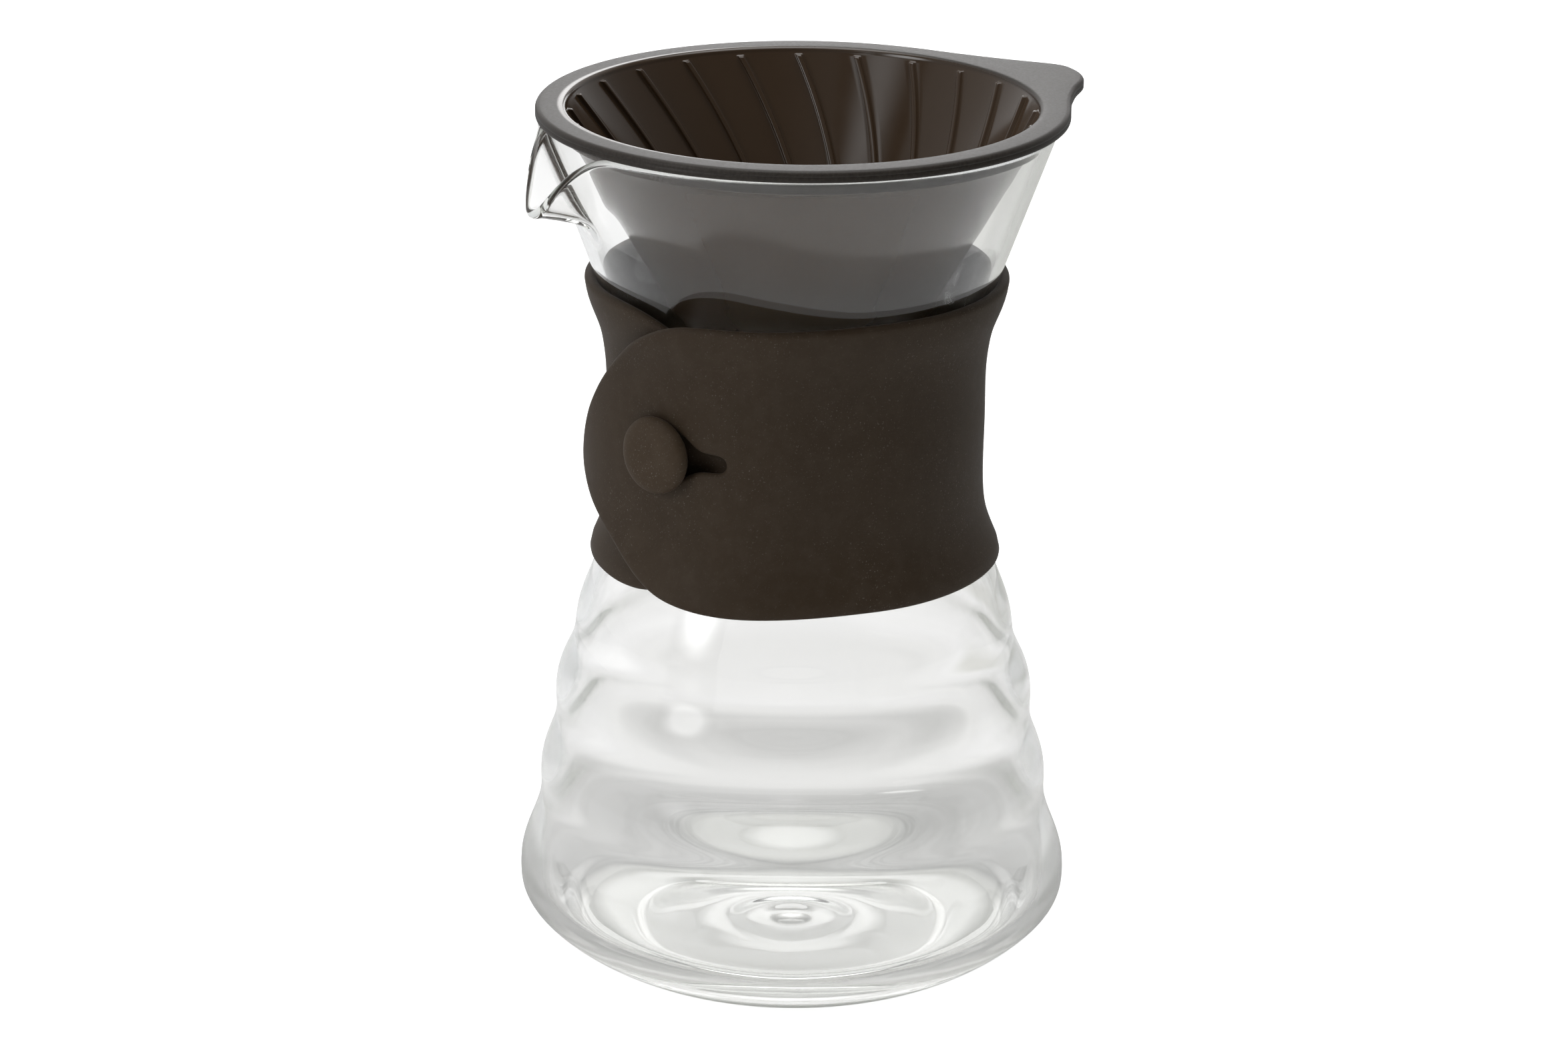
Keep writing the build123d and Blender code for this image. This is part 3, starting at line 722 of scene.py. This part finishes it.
def strip_loop():
    """Flat outline of the whole strip, in mm."""
    outline = INNER_END_LOW + [(along, LOW_EDGE_Z) for along in np.arange(52.0, 360.0, 6.0)]
    outline += [(flap_along(azimuth), z) for azimuth, z in FLAP]
    outline += [(along, HIGH_EDGE_Z) for along in np.arange(360.0, 48.0, -6.0)]
    outline += INNER_END_HIGH
    points = np.array([(along * MM_PER_DEGREE, z) for along, z in outline])
    curve = spline_through(np.concatenate([points[-4:], points, points[:5]]), 0.35)
    # cut the overlap of the closed spline: keep what lies between its two passes of the start
    distance = np.linalg.norm(curve - points[0], axis=1)
    index, half = np.arange(len(curve)), len(curve) / 2
    first = int(np.argmin(distance + (index > half) * 1e3))
    second = int(np.argmin(distance + (index < half) * 1e3))
    return even_loop(curve[first:second], step=0.8, sigma=2.5)


def buttonhole_loop():
    """Flat outline of the buttonhole: round at the button, a narrow slot to its right."""
    def arc(degrees, radius, centre=(0.0, 0.0)):
        return [(centre[0] + radius * math.cos(a), centre[1] + radius * math.sin(a))
                for a in np.radians(degrees)]

    hole = arc(np.arange(55, 305.1, 10), HOLE_R) + SLOT_LOW
    hole += arc(np.arange(-70, 71, 20), SLOT_END_R, SLOT_END) + SLOT_HIGH
    button = flap_along(BUTTON_AZ) * MM_PER_DEGREE
    # the flap stands out, so lengths on it are shorter in the flat drawing
    hole = [(button - x * ARC_R / (ARC_R + FLAP_RISE), BUTTON_Z + z) for x, z in hole]
    return even_loop(np.array(hole), step=0.45, sigma=1.6)


def counter_clockwise(loop):
    x, y = loop[:, 0], loop[:, 1]
    return loop if np.sum(x * np.roll(y, -1) - np.roll(x, -1) * y) > 0 else loop[::-1]


def inset(loop, distance):
    """The loop moved to its left."""
    return loop + left_of(unit(np.roll(loop, -1, 0) - np.roll(loop, 1, 0))) * distance


def is_inside(loop, points):
    x, y = points[:, 0], points[:, 1]
    result = np.zeros(len(points), bool)
    for (x0, y0), (x1, y1) in zip(loop, np.roll(loop, -1, 0)):
        spans = (y0 > y) != (y1 > y)
        # level edges divide by zero, but they span nothing
        with np.errstate(divide="ignore", invalid="ignore"):
            crossing = (x1 - x0) * (y - y0) / (y1 - y0) + x0
        result ^= spans & (x < crossing)
    return result


def flat_strip():
    """Triangulated flat strip: points, how far each drops at the rounded edge, and faces."""
    # material lies to the left of both loops
    loop = counter_clockwise(strip_loop())
    hole = counter_clockwise(buttonhole_loop())[::-1]
    points, drops, edges = [], [], []
    for outline in (loop, hole):
        for a in np.radians([0, 22, 44, 66, 90]):
            start, count = len(points), len(outline)
            points += [tuple(p) for p in inset(outline, BAND_ROUND * (1 - np.cos(a)))]
            drops += [BAND_ROUND * (1 - np.sin(a))] * count
            edges += [(start + j, start + (j + 1) % count) for j in range(count)]

    # staggered grid of points over the rest
    low, high = loop.min(0), loop.max(0)
    x, z = np.meshgrid(
        np.arange(low[0], high[0], GRID_STEP), np.arange(low[1], high[1], GRID_STEP * 0.95)
    )
    x = x + (np.arange(x.shape[0]) % 2)[:, None] * GRID_STEP / 2
    grid = np.stack([x.ravel(), z.ravel()], 1)
    within = is_inside(inset(loop, BAND_ROUND + 0.55), grid)
    grid = grid[within & ~is_inside(inset(hole, BAND_ROUND + 0.45), grid)]
    points += [tuple(p) for p in grid]
    drops += [0.0] * len(grid)

    verts, _, triangles, origins, _, _ = delaunay_2d_cdt(
        [Vector(p) for p in points], edges, [], 0, 1e-5
    )
    flat = np.array([(v.x, v.y) for v in verts])
    drop = np.array([drops[o[0]] if o else 0.0 for o in origins])
    centres = np.array([flat[list(t)].mean(0) for t in triangles])
    faces = []
    for t, good in zip(triangles, is_inside(loop, centres) & ~is_inside(hole, centres)):
        if good:
            a, b, c = (flat[i] for i in t[:3])
            area = (b[0] - a[0]) * (c[1] - a[1]) - (b[1] - a[1]) * (c[0] - a[0])
            faces.append(t if area > 0 else t[::-1])
    return flat, drop, faces


def flap_lift(along):
    """How far the strip stands out from the band's own radius."""
    azimuth = INNER_END_AZ - along + 360.0
    lift = smoothstep((263.7 - azimuth) / 50.0) * FLAP_RISE
    lift = lift + 1.5 * smoothstep((204.0 - azimuth) / 34.0)
    return np.where(along > SPLIT_ALONG - 30.0, lift, 0.0)


def build_band():
    """The band, and the share of the flap's bend at each vertex."""
    flat, drop, faces = flat_strip()
    profile = soften(spline_through(BAND, 0.5), 2.5)

    def middle_surface(x, z):
        along = x / MM_PER_DEGREE
        a = np.radians(INNER_END_AZ - along)
        r = np.interp(z, profile[:, 0], profile[:, 1]) - BAND_T / 2 + flap_lift(along)
        # slight unevenness
        r = r + 0.10 * np.sin(along * 0.11 + z * 0.05) * smoothstep((along - 20) / 30)
        return np.stack([r * np.cos(a), r * np.sin(a), z], 1)

    x, z = flat[:, 0], flat[:, 1]
    e = 0.05  # step for the slopes
    middle = middle_surface(x, z)
    slope_x = (middle_surface(x + e, z) - middle_surface(x - e, z)) / (2 * e)
    slope_z = (middle_surface(x, z + e) - middle_surface(x, z - e)) / (2 * e)
    normal = unit(np.cross(slope_z, slope_x))
    normal *= np.sign(np.sum(normal[:, :2] * middle[:, :2], axis=1))[:, None]
    half = np.maximum(BAND_T / 2 - drop * (BAND_T / 2) / BAND_ROUND, 0.0)
    outer, inner = middle + normal * half[:, None], middle - normal * half[:, None]
    # the inner skin lies on the glass, not in it
    inner_r = np.hypot(inner[:, 0], inner[:, 1])
    least_r = glass_outer_r(inner[:, 2]) + 0.06
    inner[:, :2] *= np.maximum(1.0, least_r / inner_r)[:, None]

    # vertices on the outline are shared between the two skins
    count = len(middle)
    shared = np.flatnonzero(half < 1e-6)
    source = np.arange(2 * count)
    source[count + shared] = shared
    used, index = np.unique(source, return_inverse=True)
    # the strip runs against the azimuth, so a counter-clockwise flat face looks inwards
    skins = []
    for f in faces:
        skins.append([index[i] for i in f][::-1])
        skins.append([index[count + i] for i in f])
    band = mesh_piece("silicone_band", np.concatenate([outer, inner])[used], skins)
    along = np.concatenate([x, x])[used] / MM_PER_DEGREE
    return band, smoothstep((along - SPLIT_ALONG) / 52.0)


# --------------------------------------------------------------------------
# button
# --------------------------------------------------------------------------
BUTTON_BASE = 41.44 + FLAP_RISE + 0.1  # distance of the head's underside from the Z axis
BUTTON_STEM = [(3.35, 40.9), (3.35, 44.0), (3.6, 45.3), (4.4, 45.95)]  # (radius, distance)
# head: (radius, distance beyond BUTTON_BASE)
BUTTON_HEAD = [
    (6.4, -0.02), (7.5, 0.06), (8.1, 0.45), (8.42, 1.0), (8.46, 1.6), (8.32, 2.3), (7.9, 2.9),
    (7.2, 3.35), (6.2, 3.62), (4.9, 3.74), (3.2, 3.78), (1.6, 3.79), (0.0, 3.79),
]


def build_button():
    profile = BUTTON_STEM + [(r, BUTTON_BASE + distance) for r, distance in BUTTON_HEAD]
    profile = soften(spline_through(profile, 0.22), 1.2)
    cols = 72
    a = np.linspace(0, 2 * math.pi, cols, endpoint=False)
    azimuth = math.radians(BUTTON_AZ)
    outward = np.array([math.cos(azimuth), math.sin(azimuth), 0.0])
    side = np.array([-outward[1], outward[0], 0.0])
    up = np.array([0, 0, 1.0])
    centre = np.array([0, 0, BUTTON_Z])
    rows = []
    for r, distance in profile[:-1]:
        # the head follows the round of the band a little
        sag = 0.35 * (np.cos(a) * r) ** 2 / (2 * 46.0)
        across = np.outer(np.cos(a) * r, side)
        rows.append(centre + np.outer(distance - sag, outward) + across
                    + np.outer(np.sin(a) * r, up))
    verts = np.array(rows).reshape(-1, 3)
    faces = grid_faces(len(rows), cols)
    tip, foot = len(verts), len(verts) + 1
    ends = [centre + outward * profile[-1, 1], centre + outward * profile[0, 1]]
    last = (len(rows) - 1) * cols
    for i in range(cols):
        j = (i + 1) % cols
        faces.append((last + i, last + j, tip))
        faces.append((j, i, foot))
    return mesh_piece("button", np.concatenate([verts, ends]), faces)


glass_mat, plastic_mat = glass_material(), plastic_material()
band_mat = silicone_material("band_silicone")
# the button's copy of the silicone is 1.22 times lighter: painted light for the extra light that falls on
# the button
button_mat = silicone_material("button_silicone", brightness=1.22)

glass = build_glass()
glass.data.materials.append(glass_mat)
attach(glass, "decanter")
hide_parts("glass_decanter")

cone = build_dripper()
cone.data.materials.append(plastic_mat)
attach(cone, "dripper")
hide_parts("dripper_cone")

band, bend_weights = build_band()
band.data.materials.append(band_mat)
split = math.radians(SPLIT_AZ)
bend_start = Vector((0.0464 * math.cos(split), 0.0464 * math.sin(split), 0.126))
flap_direction = Vector((math.sin(split), -math.cos(split), 0.0))
bend_end = bend_start + flap_direction * 0.036
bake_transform(band, "band", "flap", start=tuple(bend_start), end=tuple(bend_end))
# the strip overlaps itself, so the bend is counted along the strip
blend_data = band.data.attributes["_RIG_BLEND"].data
blend_data.foreach_set("value", bend_weights.astype(np.float32))
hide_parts("band_wrap", "band_flap")

button = build_button()
button.data.materials.append(button_mat)
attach(button, "band")
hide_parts("band_button")

# --------------------------------------------------------------------------
# studio, in metres; right and back are as the camera sees them
# --------------------------------------------------------------------------
RIGHT = Vector((0.8805, -0.4741, 0.0))
BACK = Vector((0.4741, 0.8805, 0.0))  # away from the camera
UP = Vector((0, 0, 1))
CENTRE = Vector((0, 0, 0.1))

FLOOR_Z, FLOOR_HALF = -0.0003, 8
# painted shadow of the object and painted caustic light on the sheet by distance from the axis, darker under
# the foot, a bright ring round it and darker again behind it: (share of 0.6 m, colour)
PAINTED_SHADOW_CAUSTIC_TONES = [
    (0.054, (0.82, 0.815, 0.80)), (0.060, (1.0, 0.995, 0.985)), (0.088, (1.0, 0.995, 0.985)),
    (0.098, (0.62, 0.62, 0.615)), (0.165, (0.66, 0.66, 0.655)), (0.22, (0.81, 0.81, 0.805)),
    (0.42, (0.84, 0.84, 0.84)), (0.6, (0.94, 0.94, 0.94)),
]

scene = bpy.context.scene
scene.view_settings.view_transform = "Standard"
scene.view_settings.look = "None"


def floor_material():
    """Pale to the camera; to everything that refracts or reflects it, a sheet with painted shadow, painted
    caustic light and painted shade.
    """
    material, m = new_material("pale_floor")
    co = m.coords()
    white = m.ramp(
        m.noise(co, scale=3.0, detail=2.0, rough=0.5),
        [(0.2, (0.86, 0.86, 0.86)), (0.8, (0.88, 0.88, 0.88))],
    )
    seen = m.node(
        "ShaderNodeBsdfPrincipled", Roughness=0.9, Base_Color=white, Emission_Color=white,
        Emission_Strength=0.72, Specular_IOR_Level=0.1,
    )
    xyz = m.node("ShaderNodeSeparateXYZ", Vector=co).outputs

    def rightward():
        x, y = m.calc("MULTIPLY", xyz["X"], RIGHT.x), m.calc("MULTIPLY", xyz["Y"], RIGHT.y)
        return m.calc("ADD", x, y)

    distance = m.axis_distance(xyz)
    # painted shadow and painted caustic light on the sheet, by distance from the axis
    painted_shadow_caustic = m.ramp(m.remap(distance, span=(0.0, 0.6)), PAINTED_SHADOW_CAUSTIC_TONES)
    # painted shade: it falls off to both sides
    aside = m.remap(m.calc("ABSOLUTE", rightward()), span=(0.0, 0.4))
    painted_side_falloff = m.ramp(aside, [(0.15, (1, 1, 1)), (0.8, (0.78, 0.79, 0.80))])
    # and painted shade makes it darker far out on the right
    far_right = m.calc(
        "MULTIPLY", m.remap(rightward(), span=(0.0, 0.07)), m.remap(distance, span=(0.26, 0.36))
    )
    painted_right_shade = m.ramp(far_right, [(0.0, (1, 1, 1)), (1.0, (0.72, 0.72, 0.69))])
    shade = m.mix(1.0, painted_side_falloff, painted_right_shade, blend="MULTIPLY")
    color = m.mix(1.0, painted_shadow_caustic, shade, blend="MULTIPLY")
    sheet = m.node("ShaderNodeBsdfDiffuse", Roughness=0.9, Color=color)
    camera_ray = m.node("ShaderNodeLightPath").outputs["Is Camera Ray"]
    m.surface(m.mix_shader(camera_ray, sheet, seen))
    return material


def flat_panel(name, half_width, half_height, z, material):
    """A level rectangle."""
    mesh = bpy.data.meshes.new(name)
    corners = [(i * half_width, j * half_height, z) for i, j in ((-1, -1), (1, -1), (1, 1), (-1, 1))]
    mesh.from_pydata(corners, [], [(0, 1, 2, 3)])
    mesh.materials.append(material)
    panel = bpy.data.objects.new(name, mesh)
    scene.collection.objects.link(panel)
    return panel


def build_world():
    """Grey surroundings, brighter behind the object and when seen through the glass."""
    world = bpy.data.worlds.new("studio")
    scene.world = world
    w = Nodes(world, "ShaderNodeOutputWorld")
    view = w.coords("Generated")

    def level_towards(direction, stops):
        """Grey level by the angle to a direction: stops are (cosine, level)."""
        dot = w.node("ShaderNodeVectorMath", {"operation": "DOT_PRODUCT"})
        w.put(dot.inputs[0], view)
        w.put(dot.inputs[1], direction)
        cosine = w.remap(dot.outputs["Value"], span=(-1.0, 1.0))
        return w.ramp(cosine, [((c + 1) / 2, (level,) * 3) for c, level in stops])

    plain = level_towards(
        (BACK.x, BACK.y, 0.1), [(-1.0, 0.10), (-0.3, 0.11), (0.35, 0.21), (0.9, 0.70)]
    )
    left = level_towards((-RIGHT.x, -RIGHT.y, 0.0), [(-0.2, 0.0), (0.9, 0.30)])
    through = level_towards(
        (BACK.x, BACK.y, 0.15), [(-1.0, 0.62), (-0.2, 0.64), (0.4, 0.70), (0.9, 0.90)]
    )
    direct = w.mix(1.0, plain, left, blend="ADD")
    depth = w.node("ShaderNodeLightPath").outputs["Transmission Depth"]
    refracted = w.calc("MINIMUM", depth, 1.0)
    w.surface(w.node("ShaderNodeBackground", Color=w.mix(refracted, direct, through)))


def softbox(name, place, target_rise, size, level, power):
    """A diffuse panel that fades towards its edges and shines one way."""
    width, height = size
    material, m = new_material(name)
    vector = m.node(
        "ShaderNodeMapping", Vector=m.coords(), Scale=(2.0 / width, 2.0 / height, 0.0)
    ).outputs[0]
    gradient = m.node("ShaderNodeTexGradient", {"gradient_type": "SPHERICAL"}, Vector=vector)
    lit = m.remap(gradient.outputs["Fac"], span=(0.0, 0.55))
    strength = m.calc("MULTIPLY", m.calc("POWER", lit, power), level)
    glow = m.node("ShaderNodeEmission", Color=(1, 1, 1, 1), Strength=strength)
    clear = m.node("ShaderNodeBsdfTransparent")
    backfacing = m.node("ShaderNodeNewGeometry").outputs["Backfacing"]
    m.surface(m.mix_shader(backfacing, glow, clear))
    panel = flat_panel(name, width / 2, height / 2, 0, material)
    right, back, up = place
    panel.location = location = CENTRE + RIGHT * right + BACK * back + UP * up
    panel.rotation_mode = "QUATERNION"
    # the panel's +Z side, its front, faces the target
    aim = CENTRE + UP * target_rise - location
    panel.rotation_quaternion = aim.to_track_quat("Z", "Y")
    panel.visible_camera = False
    panel.visible_shadow = False


def build_camera():
    """Long lens, looking down on the object."""
    data = bpy.data.cameras.new("camera")
    data.lens, data.sensor_width = 116.43, 36.0
    data.clip_start, data.clip_end = 0.05, 50.0
    camera = bpy.data.objects.new("camera", data)
    scene.collection.objects.link(camera)
    pitch, roll = math.radians(18.94), math.radians(0.51)
    place = -BACK * 1.0601 + UP * 0.4637 - RIGHT * 0.0024
    forward = BACK * math.cos(pitch) - UP * math.sin(pitch)
    axes = Matrix((RIGHT, RIGHT.cross(forward), -forward)).transposed()
    turn = axes @ Matrix.Rotation(roll, 3, "Z")
    camera.matrix_world = Matrix.Translation(place) @ turn.to_4x4()
    scene.camera = camera


floor = flat_panel("floor", FLOOR_HALF, FLOOR_HALF, FLOOR_Z, floor_material())
build_world()

# name, (right, back, up) from CENTRE, rise of the target above CENTRE, (width, height),
# level, power of the fade towards the edges
SOFTBOXES = [
    ("top_softbox", (0, 0.15, 1.5), 0, (2.4, 2.0), 3.3, 1.0),
    ("back_softbox", (0, 1.65, 0.72), 0.08, (0.75, 0.8), 3.6, 1.0),
    ("back_strip", (0, 2.3, 0.32), 0.08, (2.6, 0.75), 2.6, 1.0),
    ("front_left_softbox", (-0.86, -0.78, 0.88), 0.06, (0.95, 0.75), 2.4, 0.8),
    ("left_softbox", (-1.0, -0.7, 0.55), 0, (0.72, 0.95), 5.0, 2.2),
]
for box in SOFTBOXES:
    softbox(*box)

build_camera()
